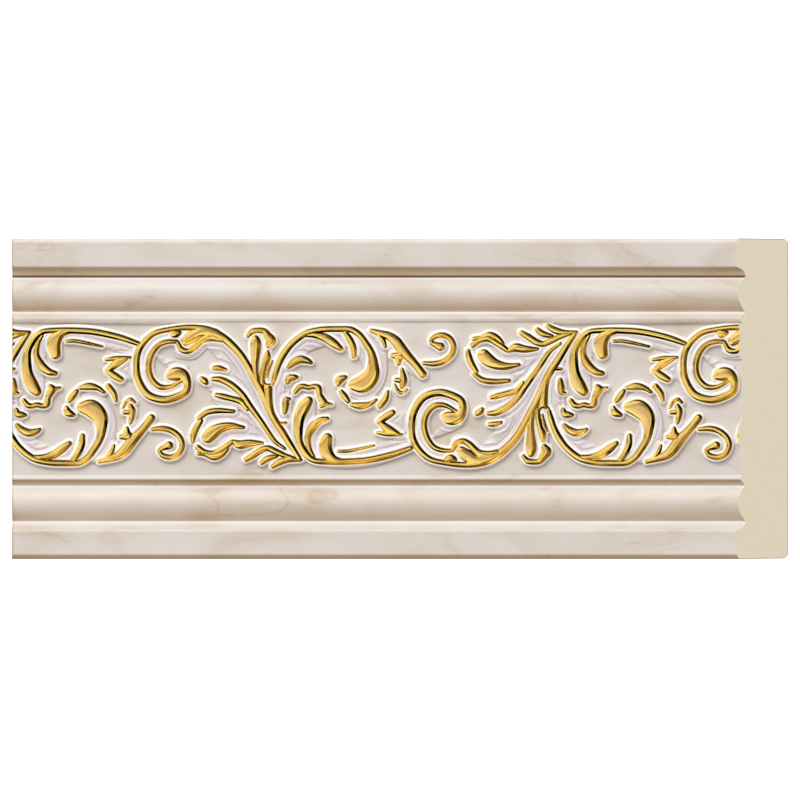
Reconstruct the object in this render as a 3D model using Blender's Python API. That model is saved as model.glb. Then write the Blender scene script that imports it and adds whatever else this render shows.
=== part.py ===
"""A length of wall moulding with a gilded running scroll, moulded in one piece.

The face looks along -Y, the flat back lies on Y = 0, and X runs along the length.
"""

import math

import bmesh
import bpy
import numpy as np
from mathutils import Vector
from mathutils.geometry import delaunay_2d_cdt

MM = 0.001

# The moulding's section, in millimetres. Heights are above the flat back.
MOULDING_WIDTH = 150.0
MOULDING_DEPTH = 24.7
BACK_LENGTH = 363.4
BACK_CORNER = 2.3
ARRIS_WIDTH = 1.9
ARRIS_DROP = 1.2
FLAT_BAND_EDGE = 61.2
OVOLO_OUTER = 57.1
OVOLO_INNER = 40.6
OVOLO_HEIGHT = 24.1
OVOLO_FULLNESS = 0.85
QUIRK_HEIGHT = 20.6
BEAD_CREST = 37.4
BEAD_HEIGHT = 23.1
BEAD_HALF = 0.9
BEAD_DROP = 0.4
FIELD_EDGE = 35.7
FIELD_HEIGHT = 22.3

# The carved scroll. Every other half repeat is turned upside down.
HALF_REPEAT = 127.8
TURNED_SHIFT = 0.9
FIRST_REPEAT = -1
LAST_REPEAT = 2
SCROLL_START = 57.0
SCROLL_AXIS = 1.2
SCROLL_DATUM = -0.75
SCROLL_MARGIN = 0.4
RIM_RISE = 1.9
RIM_WIDTH = 1.5
RIM_CREST = -0.6
BODY_RISE = 1.3
BODY_SHOULDER = 1.6
CHANNEL_DEPTH = 1.0
CHANNEL_SIDE = 0.35

# The finish.
IVORY = (0.73, 0.65, 0.58, 1.0)
IVORY_ROUGHNESS = 0.35

# Where the long blank starts and stops before its ends are cut.
ROUGH_LEFT = -264.0
ROUGH_RIGHT = 294.0

# How finely the shapes are cut.
CORNER_STEPS = 3
COVE_STEPS = 4
OVOLO_STEPS = 10
GRID_STEP = 0.4
STROKE_STEP = 0.4
FIELD_REACH = 2.5
FACET_ERROR = 0.3
SAME_PLACE = 0.02
CUT_TOLERANCE = 0.002

# Gilded channels of one half repeat: (along, up, half width) down the middle of each.
CHANNELS = {
    "volute": [
        (16.6, 9.9, 1), (19, 11, 2.6), (22.6, 10.6, 2.3), (24.9, 6.9, 1.3), (24.2, 3, 1.2),
        (20.3, 0.6, 1.25), (14, -0.9, 1.25), (6.6, 1.4, 1.25), (2.1, 8.3, 1.15), (1.1, 15.2, 1),
        (2.4, 22.6, 1), (8.8, 29.7, 0.8), (17.5, 32.1, 0.7), (27, 32.8, 0.9), (35, 31.6, 1.1),
        (41.8, 28, 1.3), (49.2, 21, 1.1), (53.3, 14.8, 1.1), (57, 8, 1.2), (60.5, 1.5, 1.2),
        (63.5, -6, 1.1), (66.4, -11.5, 1.1), (69.4, -16, 1.1), (73, -22, 1), (77.2, -28.2, 0.5),
    ],
    "volute lining": [
        (20, 26.2, 0.4), (15.5, 26.1, 0.6), (11.3, 24.4, 0.7), (8, 19.6, 0.8), (6.9, 14, 0.8),
        (8.2, 8.9, 0.8), (12, 5.2, 0.8), (16.4, 5, 0.6), (22.6, 8.2, 0.25),
    ],
    "crest hollow": [
        (24.3, 26.4, 1.7), (26.6, 28.2, 2.3), (31, 30.4, 2), (37, 30.2, 1.9), (41, 28.4, 1.3),
    ],
    "crest frill": [
        (20.4, 25.6, 0.5), (22, 22.7, 0.8), (25, 21.7, 0.8), (28, 23.2, 0.9), (32, 27, 1.1),
        (36, 28.4, 1.6), (41, 27.2, 0.9),
    ],
    "crest nick": [(17.4, 30.5, 0.5), (19.2, 29.9, 1.4), (21.3, 30.4, 0.5)],
    "upper bud": [(37.4, 13.9, 0.5), (39.6, 13.9, 0.8), (42.8, 13.1, 0.3)],
    "lower bud": [(31.7, 8.7, 0.8), (33, 7.9, 1), (33.9, 6.8, 0.4)],
    "long leaf": [
        (36.8, 8.8, 0.5), (40, 8.6, 0.9), (45, 6.4, 1), (50.5, 1.6, 0.9), (54.3, -4, 0.9),
        (58.6, -10, 0.8), (63, -16.5, 0.7), (66, -20.5, 0.5), (70.5, -23.8, 0.2),
    ],
    "short leaf": [
        (38.4, 1.3, 0.5), (41.5, 0.6, 0.9), (45.5, -0.4, 0.8), (50, -1.8, 0.9), (53, -5.4, 0.4),
    ],
    "left lobe top": [(30.4, -9.4, 0.6), (34, -6.9, 0.8), (39, -6, 0.8), (46.5, -6.4, 0.4)],
    "left lobe side": [(31.3, -10.8, 0.6), (29.2, -14, 1), (27.8, -17.5, 1), (27.4, -20.3, 0.5)],
    "left lobe hollow": [
        (34.7, -18.4, 2.3), (36.3, -16.6, 2.5), (40, -14.3, 1.9), (45, -13.2, 1.2),
        (51.2, -13.9, 0.3),
    ],
    "left lobe foot": [
        (29.7, -23.2, 0.8), (33, -25.3, 0.7), (37, -25.9, 0.8), (41.5, -23.7, 0.9),
        (45.8, -20.6, 0.6),
    ],
    "left lobe beads": [
        (30.1, -26, 0.5), (33.2, -26.7, 0.3), (37.8, -27.7, 1.1), (41.2, -26.3, 0.8),
        (43.6, -24, 0.3),
    ],
    "left lobe tip": [(46.6, -20.6, 0.6), (49.4, -21.9, 1.5), (54, -21.2, 1.2), (59.8, -21.2, 0.3)],
    "first finger": [
        (52.4, -28.8, 0.7), (55.5, -27, 1), (59.5, -24.4, 1), (62.5, -23.6, 0.9), (66, -25, 0.9),
        (70, -26.8, 0.7), (75, -28.4, 0.3),
    ],
    "second finger": [(59.8, -30.2, 0.7), (62.4, -28.4, 0.9), (66.5, -27.3, 0.4)],
    "third finger": [(64.8, -32, 0.6), (67.5, -30.3, 1), (72, -28.9, 0.9), (78, -29.1, 0.3)],
    "bell left": [
        (56.8, 27.5, 1.2), (56.9, 25, 2), (56.7, 20, 1.5), (56.6, 15, 1), (57, 10, 0.9),
        (58.6, 5, 0.6),
    ],
    "bell crown": [
        (53.2, 28.8, 0.4), (55, 30.9, 0.8), (58.5, 31.5, 0.8), (61, 31, 0.9), (62.6, 28.8, 1.4),
        (64, 26.6, 1.8), (63, 24.6, 0.9),
    ],
    "bell right": [(62.4, 21.4, 0.3), (62.2, 19, 1.2), (61, 15.5, 0.9), (60, 11, 0.8), (59.8, 7, 0.7)],
    "bell cup": [
        (60.2, 8.4, 0.3), (60.9, 6.4, 0.3), (62.6, 5.7, 0.3), (64.5, 6.2, 0.3), (65.2, 8.2, 0.3),
    ],
    "bell vein": [(64.4, 17, 0.1), (63, 13.5, 0.2), (62, 9.5, 0.1)],
    "bell neck": [(62.6, 4.3, 1.5), (62.6, 1, 1.5), (63.4, -4, 1.1), (65, -9, 0.8), (67, -13, 0.5)],
    "arch": [
        (65.2, 8, 0.6), (66, 11, 0.9), (67.4, 15.2, 0.9), (69.7, 20, 1.1), (73.5, 25, 1),
        (80, 29.9, 1), (87, 31.8, 0.9), (95, 32.1, 0.9), (101.5, 31.8, 0.9), (105.2, 29.6, 0.9),
        (108, 26, 1), (110.9, 21.2, 1.1), (111.8, 16, 1.8), (111, 10.4, 3), (107, 6.5, 3.6),
        (102.7, 6, 2),
    ],
    "arch first leaf": [
        (80, 29.2, 0.4), (85, 29.2, 0.9), (89.5, 28, 1.4), (93.5, 25.3, 1.4), (96.6, 22.9, 0.7),
    ],
    "arch second leaf": [(98.8, 30.3, 0.7), (101, 27, 1), (102.6, 23, 1), (102.8, 19.4, 0.7)],
    "inner bud": [
        (72.4, 14.5, 0.5), (74.8, 16.6, 1.1), (78, 17.9, 1.3), (81, 17.3, 0.9), (82.8, 16.3, 0.3),
    ],
    "inner seed": [(71.9, 7.2, 0.5), (72.6, 9, 1), (74.4, 9.5, 1), (76, 9.6, 0.4)],
    "inner spur": [(72.6, -0.6, 0.3), (71.2, -0.9, 0.7), (70.9, -3, 1.1), (70.5, -6.6, 0.6)],
    "inner dash": [(68.4, -11.9, 0.2), (70.8, -11.9, 0.2)],
    "crown": [
        (75.4, 2.8, 0.6), (77, 4.8, 0.8), (79, 5.4, 0.7), (81.5, 4.8, 0.7), (84, 5.3, 0.7),
        (86, 4.7, 1), (86.5, 2.4, 0.9),
    ],
    "crown drop": [(86.7, 1.4, 0.8), (87.8, -1, 1.2), (88.7, -2.6, 1.2), (87.6, -3.9, 0.5)],
    "crown point": [(89.6, -2.6, 0.5), (92.3, -3.2, 0.1)],
    "tall lobe": [
        (81.6, -1.4, 1.5), (79.6, -4, 2.3), (77.4, -9, 2), (76.8, -15, 1.6), (77.3, -20.5, 1.2),
        (79.8, -25.6, 1.2), (84, -29.2, 0.8), (90, -30, 0.8), (98, -29.9, 1), (107, -29.4, 1),
        (115, -28, 1), (122, -26.2, 0.9), (129.3, -23.6, 0.6),
    ],
    "middle lobe": [
        (90.2, -9.9, 0.6), (87.3, -10.6, 1.1), (83.5, -13.8, 1.4), (81.2, -18.5, 1), (82, -24, 0.6),
        (84, -27.5, 0.2),
    ],
    "low lobe": [
        (90.3, -18.8, 1.8), (89.5, -22, 2.4), (90, -25.5, 2.4), (93, -28.6, 1.4), (97, -29.9, 0.9),
    ],
    "stem line": [(95.5, -24.9, 0.2), (99, -25, 0.3), (104, -24.2, 0.3), (112, -22.4, 0.1)],
    "first petal": [(95.3, 6.2, 0.5), (96, 8.3, 1.3), (98.7, 9.6, 0.5)],
    "second petal": [(96.8, 2.8, 0.6), (98.2, 0.9, 1), (100, -1.5, 0.6)],
    "third petal": [(101.8, -3.2, 0.5), (105.8, -3.8, 1.2), (110, -3, 0.7), (113, -1, 0.2)],
    "fourth petal": [(118.5, 2.8, 0.3), (117.4, -0.6, 0.9), (115, -3.8, 0.9)],
    "notched leaf": [(120.8, -7, 0.9), (117.8, -8.8, 1.2), (114.6, -11.2, 0.8)],
    "notched leaf fold": [(115.6, -12, 0.9), (118.8, -14.6, 1.4), (123, -16.8, 0.7)],
    "notched leaf tip": [(113.8, -16.3, 0.2), (118, -16.9, 0.6), (125, -17.3, 0.2)],
    "flower": [
        (110.8, 31.4, 0.4), (115.5, 30, 1), (119.4, 28.7, 1.4), (122.4, 26.4, 1.8),
        (124.6, 23.4, 1.9), (127.2, 20.2, 1.7), (130.8, 16.4, 1.2), (135, 11, 1.3),
    ],
    "flower rim": [(114.4, 29.2, 0.4), (116.4, 26.8, 0.6), (117.4, 24, 0.3)],
    "flower waist": [(120.8, 19.8, 0.6), (124.4, 19.4, 1.5)],
    "flower lip": [(123.6, 18, 1.2), (123.6, 15.8, 0.4)],
    "flower drop": [(125.2, 13.2, 0.3), (125.8, 10.5, 0.8), (126, 7.5, 1.1), (125.2, 5.4, 0.7)],
    "flower drop side": [(122.3, 8.3, 0.5), (124.6, 8.1, 0.8)],
    "flower drop ring": [(121.8, 6, 0.1), (123.4, 3.2, 0.3), (125.4, 2.2, 0.3), (127.4, 3.8, 0.1)],
    "tendril": [
        (135.4, 16.2, 0.4), (140.5, 15.9, 0.8), (145, 17.2, 0.8), (148.4, 20.3, 0.8),
        (149.4, 24, 0.8), (147.4, 27.9, 0.8), (143.6, 29.3, 0.8), (139.6, 27.9, 0.6),
        (138.9, 25.9, 0.5), (141.4, 24.6, 0.9), (143.3, 23.8, 1.4),
    ],
}

# Raised stems and leaf bodies of one half repeat, in the same form.
BODIES = {
    "volute": [
        (24.2, 4.4, 2.4), (19, 1.1, 3.4), (13.6, 0.9, 3.6), (8.2, 3.4, 3.6), (4.9, 8.6, 3.6),
        (4.4, 14.6, 3.6), (5.9, 20.3, 3.7), (10, 25.4, 3.8), (16, 28.3, 3.8), (24, 28, 3.2),
    ],
    "main stem": [
        (24, 28.6, 3.6), (33, 28.4, 4.2), (40.3, 24.2, 5.2), (50.4, 10, 5.2), (60, -7.4, 4.2),
        (71, -21.8, 2.6), (76, -27.4, 1.4),
    ],
    "crest": [(21.5, 21.2, 3.0), (27, 20.8, 3.0), (31.5, 24.2, 2.8)],
    "eye leaf": [(10.6, 20, 0.8), (14, 17.6, 2), (18.6, 15.4, 2.4), (24, 14, 1.4)],
    "web": [(40, 0.6, 4.2), (48, -3.5, 2.6)],
    "leaf pair": [(36.8, 5, 2.6), (41.5, 3.8, 3.8), (52, -4.6, 2.6), (65, -18.8, 1.6)],
    "left lobe": [
        (31.6, -17, 4.8), (37, -14, 8.4), (43, -12.4, 7.6), (50, -13.4, 6.0), (58, -17.3, 4),
        (73, -26, 1.6),
    ],
    "fingers": [(58, -26.6, 2.6), (65, -27.4, 2.6), (79, -29, 1.8)],
    "bell left": [(56.8, 27, 4.4), (57.2, 18, 3.2), (57.6, 10, 2.4), (60.4, 3, 2.2)],
    "bell right": [(62, 29.4, 3.0), (62.3, 16, 2.6), (62.6, 3, 2.4), (64, -4, 2)],
    "arch": [
        (76, -27, 1.8), (73, -18.6, 3.4), (69.8, -8, 4.4), (68.8, 2, 4.2), (69.8, 11, 4.2),
        (73, 18.6, 4.4), (78.2, 24.6, 4.8), (84.6, 27.8, 5.0), (91, 28.4, 4.2), (98, 28, 4.2),
        (104.4, 25.6, 4.6), (108.6, 20.4, 4.0), (111, 13, 3.6),
    ],
    "lobes": [(80, -3, 5.2), (79.6, -10, 5.2), (80.4, -18, 5.2), (83, -25, 5.0), (88, -27.6, 4.6)],
    "low stem": [
        (86, -27.4, 4.4), (97, -28.7, 4.6), (107, -28.2, 4.6), (117, -25.6, 4.8), (131, -20, 4),
    ],
    "comma": [
        (102, 4.5, 4), (107.5, 3.5, 5), (112, 8, 5), (115.4, 16, 3.2), (113.6, 24, 3.2),
        (108.4, 30, 2.4),
    ],
    "notched leaf": [(114.8, -12.2, 2.4), (119, -12.2, 4.6), (131, -11, 5.4)],
    "flower": [
        (112.5, 30.3, 1.8), (118.6, 26.6, 3.4), (122.6, 21.8, 4.0), (127, 17, 3.8), (134.6, 10, 2.0),
    ],
    "flower drop": [(124.8, 14, 1.8), (125.4, 9, 2.4), (125, 5.8, 2.6)],
    "tendril eye": [(142.4, 25.4, 3.2), (143, 24, 2.6)],
}


def smooth(value):
    """An ease from 0 to 1."""
    value = np.clip(value, 0.0, 1.0)
    return value * value * (3.0 - 2.0 * value)


def curve_through(knots):
    """Close points on a smooth curve through the knots."""
    knots = np.array(knots, float)
    before = 2 * knots[0] - knots[1]
    after = 2 * knots[-1] - knots[-2]
    knots = np.vstack([before, knots, after])
    pieces = []
    for first, start, end, last in zip(knots[:-3], knots[1:-2], knots[2:-1], knots[3:]):
        gaps = [math.sqrt(math.dist(p[:2], q[:2])) for p, q in ((first, start), (start, end), (end, last))]
        into = (start - first) / gaps[0] - (end - first) / (gaps[0] + gaps[1]) + (end - start) / gaps[1]
        out = (end - start) / gaps[1] - (last - start) / (gaps[1] + gaps[2]) + (last - end) / gaps[2]
        count = max(2, int(math.dist(start[:2], end[:2]) / STROKE_STEP))
        t = np.linspace(0.0, 1.0, count, endpoint=False)[:, None]
        into = into * gaps[1]
        out = out * gaps[1]
        pieces.append(
            (2 * t**3 - 3 * t**2 + 1) * start
            + (t**3 - 2 * t**2 + t) * into
            + (3 * t**2 - 2 * t**3) * end
            + (t**3 - t**2) * out
        )
    pieces.append(knots[-2:-1])
    return np.vstack(pieces)


def placed(stroke, repeat, left_end):
    """The stroke's points on the face, in the half repeat of that number."""
    turned = repeat % 2 == 1
    points = curve_through(stroke)
    points[:, 0] += left_end + SCROLL_START + HALF_REPEAT * repeat + TURNED_SHIFT * turned
    points[:, 1] = SCROLL_AXIS + (points[:, 1] + SCROLL_DATUM) * (-1.0 if turned else 1.0)
    return points


def depth_inside(strokes, xs, zs, left_end):
    """How far inside the strokes each grid point lies, and below zero outside them."""
    inside = np.full((len(zs), len(xs)), -FIELD_REACH)
    for repeat in range(FIRST_REPEAT, LAST_REPEAT + 1):
        for stroke in strokes.values():
            for x, z, half in placed(stroke, repeat, left_end):
                reach = half + FIELD_REACH
                columns = slice(*np.searchsorted(xs, (x - reach, x + reach)))
                rows = slice(*np.searchsorted(zs, (z - reach, z + reach)))
                distance = np.hypot(xs[None, columns] - x, zs[rows, None] - z)
                window = inside[rows, columns]
                np.maximum(window, half - distance, out=window)
    return inside


def contour(inside, xs, zs, level):
    """The chains of points along which the grid's values pass the level."""
    above = inside > level
    joins = {}
    mixed = above[:-1, :-1] + 0 + above[1:, :-1] + above[:-1, 1:] + above[1:, 1:]
    for row, column in np.argwhere((mixed > 0) & (mixed < 4)).tolist():
        corners = [(row, column), (row, column + 1), (row + 1, column + 1), (row + 1, column)]
        crossed = []
        for start, end in zip(corners, corners[1:] + corners[:1]):
            if above[start] != above[end]:
                crossed.append(tuple(sorted((start, end))))
        for start, end in zip(crossed[::2], crossed[1::2]):
            joins.setdefault(start, []).append(end)
            joins.setdefault(end, []).append(start)
    chains = []
    ends_first = sorted(joins, key=lambda edge: len(joins[edge]))
    for edge in ends_first:
        if edge not in joins:
            continue
        chain = [edge]
        while joins.get(chain[-1]):
            following = joins[chain[-1]].pop()
            joins[following].remove(chain[-1])
            if not joins[chain[-1]]:
                del joins[chain[-1]]
            chain.append(following)
        joins.pop(chain[-1], None)
        chains.append(np.array([crossing(inside, xs, zs, level, *step) for step in chain]))
    return chains


def crossing(inside, xs, zs, level, start, end):
    """Where the level falls between two neighbouring grid points."""
    part = (level - inside[start]) / (inside[end] - inside[start])
    x = xs[start[1]] + part * (xs[end[1]] - xs[start[1]])
    z = zs[start[0]] + part * (zs[end[0]] - zs[start[0]])
    return x, z


def simplified(chain, error):
    """The chain with only the points that its shape needs."""
    kept = {0, len(chain) - 1}
    closed = math.dist(chain[0], chain[-1]) < GRID_STEP
    middle = len(chain) // 2
    spans = [(0, middle), (middle, len(chain) - 1)] if closed else [(0, len(chain) - 1)]
    if closed:
        kept.add(middle)
    while spans:
        first, last = spans.pop()
        if last - first < 2:
            continue
        run = chain[last] - chain[first]
        offsets = chain[first + 1 : last] - chain[first]
        length = max(math.hypot(*run), 1e-9)
        away = np.abs(offsets[:, 0] * run[1] - offsets[:, 1] * run[0]) / length
        farthest = int(away.argmax())
        if away[farthest] > error:
            split = first + 1 + farthest
            kept.add(split)
            spans += [(first, split), (split, last)]
    return chain[sorted(kept)]


def sampled(inside, xs, zs, points):
    """The grid's values at points between its own."""
    column = np.clip((points[:, 0] - xs[0]) / (xs[1] - xs[0]), 0, len(xs) - 1.001)
    row = np.clip((points[:, 1] - zs[0]) / (zs[1] - zs[0]), 0, len(zs) - 1.001)
    i = column.astype(int)
    j = row.astype(int)
    u = column - i
    v = row - j
    lower = inside[j, i] * (1 - u) + inside[j, i + 1] * u
    upper = inside[j + 1, i] * (1 - u) + inside[j + 1, i + 1] * u
    return lower * (1 - v) + upper * v


def relief_height(channel, body):
    """The carving's rise above the field, from the depths inside channels and bodies."""
    rim = RIM_RISE * smooth((channel + RIM_WIDTH) / (RIM_WIDTH + RIM_CREST))
    mass = BODY_RISE * smooth(body / BODY_SHOULDER)
    return np.maximum(rim, mass) - CHANNEL_DEPTH * smooth(channel / CHANNEL_SIDE)


def carved_field(left_end, right_end):
    """Points and triangles of the field's face between the ends, carving included."""
    clear = FIELD_EDGE - SCROLL_MARGIN
    xs = np.arange(left_end + 1, right_end - 1, GRID_STEP)
    zs = np.arange(-clear, clear, GRID_STEP)
    scroll_left = -BACK_LENGTH / 2
    channel = depth_inside(CHANNELS, xs, zs, scroll_left)
    body = depth_inside(BODIES, xs, zs, scroll_left)
    points = [(left_end, -FIELD_EDGE), (right_end, -FIELD_EDGE)]
    points += [(right_end, FIELD_EDGE), (left_end, FIELD_EDGE)]
    edges = [(0, 1), (1, 2), (2, 3), (3, 0)]
    lines = []
    for level in (-RIM_WIDTH, RIM_CREST, CHANNEL_SIDE):
        lines += contour(channel, xs, zs, level)
    for level in (0.0, BODY_SHOULDER):
        for chain in contour(body, xs, zs, level):
            outside = sampled(channel, xs, zs, chain) < -RIM_WIDTH
            runs = np.split(chain, np.flatnonzero(outside[1:] != outside[:-1]) + 1)
            starts_outside = outside[0]
            for number, run in enumerate(runs):
                if (number % 2 == 0) == starts_outside and len(run) > 2:
                    lines.append(run)
    for chain in lines:
        chain = simplified(chain, FACET_ERROR)
        if len(chain) < 3:
            continue
        first = len(points)
        points += [tuple(point) for point in chain]
        edges += [(first + n, first + n + 1) for n in range(len(chain) - 1)]
    flat = [Vector(point) for point in points]
    flat, _, faces, *_ = delaunay_2d_cdt(flat, edges, [], 0, SAME_PLACE)
    places = np.array([tuple(point) for point in flat])
    rise = relief_height(sampled(channel, xs, zs, places), sampled(body, xs, zs, places))
    rise[np.abs(places[:, 1]) > FIELD_EDGE - 0.5 * SCROLL_MARGIN] = 0.0
    return places, rise, faces


def section_half():
    """The upper half of the section from the back to the field, as (up, height) points."""
    half = MOULDING_WIDTH / 2
    outline = []
    for step in range(CORNER_STEPS + 1):
        angle = math.pi / 2 * step / CORNER_STEPS
        up = half - BACK_CORNER * (1 - math.sin(angle))
        outline.append((up, BACK_CORNER * (1 - math.cos(angle))))
    outline.append((half, MOULDING_DEPTH - ARRIS_DROP))
    outline.append((half - ARRIS_WIDTH, MOULDING_DEPTH))
    cove_width = FLAT_BAND_EDGE - OVOLO_OUTER
    cove_depth = MOULDING_DEPTH - QUIRK_HEIGHT
    for step in range(COVE_STEPS + 1):
        angle = math.pi / 2 * step / COVE_STEPS
        up = FLAT_BAND_EDGE - cove_width * (1 - math.cos(angle))
        outline.append((up, MOULDING_DEPTH - cove_depth * math.sin(angle)))
    for step in range(1, OVOLO_STEPS + 1):
        turn = step / OVOLO_STEPS
        up = OVOLO_OUTER + (OVOLO_INNER - OVOLO_OUTER) * turn
        fullness = math.sin(math.pi * turn) ** OVOLO_FULLNESS
        outline.append((up, QUIRK_HEIGHT + (OVOLO_HEIGHT - QUIRK_HEIGHT) * fullness))
    outline.append((BEAD_CREST + BEAD_HALF, BEAD_HEIGHT - BEAD_DROP))
    outline.append((BEAD_CREST, BEAD_HEIGHT))
    outline.append((FIELD_EDGE, FIELD_HEIGHT))
    return outline


def moulding_mesh():
    """The whole length, made too long and then cut square on the left and to a mitre on the right."""
    upper = section_half()
    outline = upper + [(-up, height) for up, height in reversed(upper)]
    mesh = bmesh.new()
    rows = []
    for x in (ROUGH_LEFT, ROUGH_RIGHT):
        rows.append([mesh.verts.new((x, -height, up)) for up, height in outline])
    corners = {}
    field = (len(upper) - 1, len(upper))
    for n in range(len(outline)):
        following = (n + 1) % len(outline)
        if (n, following) != field:
            mesh.faces.new((rows[0][n], rows[0][following], rows[1][following], rows[1][n]))
    for row, x in zip(rows, (ROUGH_LEFT, ROUGH_RIGHT)):
        corners[(x, FIELD_EDGE)] = row[field[0]]
        corners[(x, -FIELD_EDGE)] = row[field[1]]
    places, rise, faces = carved_field(ROUGH_LEFT, ROUGH_RIGHT)
    carved = []
    for (x, z), up in zip(places.tolist(), rise.tolist()):
        corner = [vert for place, vert in corners.items() if math.dist(place, (x, z)) < SAME_PLACE]
        carved.append(corner[0] if corner else mesh.verts.new((x, -FIELD_HEIGHT - up, z)))
    for face in faces:
        mesh.faces.new([carved[n] for n in face])
    half = BACK_LENGTH / 2
    for place, outward in (((-half, 0, 0), (-1, 0, 0)), ((half, 0, 0), (1, -1, 0))):
        everything = mesh.verts[:] + mesh.edges[:] + mesh.faces[:]
        cut = bmesh.ops.bisect_plane(
            mesh, geom=everything, dist=CUT_TOLERANCE, plane_co=place, plane_no=outward, clear_outer=True
        )
        rim = [part for part in cut["geom_cut"] if isinstance(part, bmesh.types.BMEdge)]
        bmesh.ops.contextual_create(mesh, geom=rim)
    bmesh.ops.recalc_face_normals(mesh, faces=mesh.faces[:])
    bmesh.ops.scale(mesh, verts=mesh.verts[:], vec=(MM, MM, MM))
    return mesh


def ivory_finish():
    """Satin ivory lacquer over foamed plastic."""
    material = bpy.data.materials.new("ivory_finish")
    material.use_nodes = True
    shader = material.node_tree.nodes["Principled BSDF"]
    shader.inputs["Base Color"].default_value = IVORY
    shader.inputs["Roughness"].default_value = IVORY_ROUGHNESS
    shader.inputs["Metallic"].default_value = 0.0
    return material


for old in list(bpy.data.objects):
    bpy.data.objects.remove(old)
moulding = bpy.data.objects.new("moulding", bpy.data.meshes.new("moulding"))
bpy.context.scene.collection.objects.link(moulding)
shape = moulding_mesh()
shape.to_mesh(moulding.data)
shape.free()
moulding.data.materials.append(ivory_finish())
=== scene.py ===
import math

import bpy
import numpy as np
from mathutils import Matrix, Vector
from mathutils.geometry import delaunay_2d_cdt


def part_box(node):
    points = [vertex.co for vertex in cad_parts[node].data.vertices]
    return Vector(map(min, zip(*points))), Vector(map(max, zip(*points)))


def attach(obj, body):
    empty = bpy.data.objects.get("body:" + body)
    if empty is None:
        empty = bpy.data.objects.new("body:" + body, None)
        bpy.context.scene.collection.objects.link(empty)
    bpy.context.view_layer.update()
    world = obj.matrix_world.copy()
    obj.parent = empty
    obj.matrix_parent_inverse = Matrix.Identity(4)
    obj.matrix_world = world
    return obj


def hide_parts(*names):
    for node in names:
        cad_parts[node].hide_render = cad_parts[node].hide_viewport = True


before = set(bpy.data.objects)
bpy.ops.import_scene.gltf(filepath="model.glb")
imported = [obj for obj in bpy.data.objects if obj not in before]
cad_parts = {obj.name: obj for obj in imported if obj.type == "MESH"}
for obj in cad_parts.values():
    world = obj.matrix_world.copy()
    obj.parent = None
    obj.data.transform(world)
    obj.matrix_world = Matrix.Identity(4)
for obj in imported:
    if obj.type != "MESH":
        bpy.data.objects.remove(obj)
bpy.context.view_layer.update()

# The loaded nodes are still selected, and the operators below act on all that is.
for thing in bpy.context.selected_objects:
    thing.select_set(False)


# The moulding, one length of it.
# The real one is extruded in high-density foamed polystyrene and glued to the wall by its flat back. From
# each edge its face has a flat band, a cove, an ovolo and a thin bead, down to a sunk field with a scroll.
# Sizes are in millimetres, and the mesh is in metres.
MM = 0.001
low_corner, high_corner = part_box("moulding")
LEFT_END = low_corner.x / MM
RIGHT_END = high_corner.x / MM
HALF_WIDTH = high_corner.z / MM
DEPTH = -low_corner.y / MM
BACK_CORNER = 2.3
ARRIS_WIDTH = 1.9
ARRIS_DROP = 1.2
BESIDE_EDGE = 0.3
FLAT_BAND_EDGE = 61.2
BAND_ROUND = 0.9
OVOLO_OUTER = 57.1
OVOLO_INNER = 40.6
OVOLO_HEIGHT = 24.1
OVOLO_FULLNESS = 0.85
OVOLO_STEPS = 32
QUIRK_HEIGHT = 20.6
BEAD_CREST = 37.4
BEAD_HALF = 1.0
BEAD_HEIGHT = 23.1
FIELD_EDGE = 35.7
FIELD_HEIGHT = 22.3
# The length that is drawn before the ends are cut.
ROUGH_LEFT = -264.0
ROUGH_RIGHT = 294.0


def arc(centre, radii, start, end, steps):
    """Points along an elliptical arc, angles in degrees."""
    found = []
    for step in range(steps + 1):
        angle = math.radians(start + (end - start) * step / steps)
        found.append((centre[0] + radii[0] * math.cos(angle), centre[1] + radii[1] * math.sin(angle)))
    return found


def upper_section():
    """The upper half of the section from the back to the field, as (up, height) points."""
    corner = (HALF_WIDTH - BACK_CORNER, BACK_CORNER)
    outline = arc(corner, (BACK_CORNER, BACK_CORNER), -90, 0, 6)
    outline += [(HALF_WIDTH, DEPTH - ARRIS_DROP), (HALF_WIDTH - ARRIS_WIDTH, DEPTH)]
    band_inner = FLAT_BAND_EDGE + BAND_ROUND
    outline += [(HALF_WIDTH - ARRIS_WIDTH - BESIDE_EDGE, DEPTH), (band_inner + BESIDE_EDGE, DEPTH)]
    outline += arc((band_inner, DEPTH - BAND_ROUND), (BAND_ROUND, BAND_ROUND), 90, 170, 5)
    cove = (FLAT_BAND_EDGE - OVOLO_OUTER, DEPTH - QUIRK_HEIGHT)
    outline += arc((OVOLO_OUTER, DEPTH), (cove[0], -cove[1]), 14, 90, 9)
    for step in range(1, OVOLO_STEPS + 1):
        turn = step / OVOLO_STEPS
        rise = (OVOLO_HEIGHT - QUIRK_HEIGHT) * math.sin(math.pi * turn) ** OVOLO_FULLNESS
        outline.append((OVOLO_OUTER + (OVOLO_INNER - OVOLO_OUTER) * turn, QUIRK_HEIGHT + rise))
    bead_rise = BEAD_HEIGHT - FIELD_HEIGHT
    outline += arc((BEAD_CREST, FIELD_HEIGHT), (BEAD_HALF, bead_rise), 30, 90, 5)
    outline += arc((BEAD_CREST, FIELD_HEIGHT), (BEAD_CREST - FIELD_EDGE, bead_rise), 100, 180, 5)
    return outline


def section_strips():
    """The section drawn out along X, open where the field's face goes."""
    upper = upper_section()
    outline = upper + [(-up, height) for up, height in reversed(upper)]
    count = len(outline)
    corners = []
    for x in (ROUGH_LEFT, ROUGH_RIGHT):
        corners += [(x, -height, up) for up, height in outline]
    faces = []
    for n in range(count):
        following = (n + 1) % count
        if n != len(upper) - 1:
            faces.append((n, following, count + following, count + n))
    return corners, faces


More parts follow.
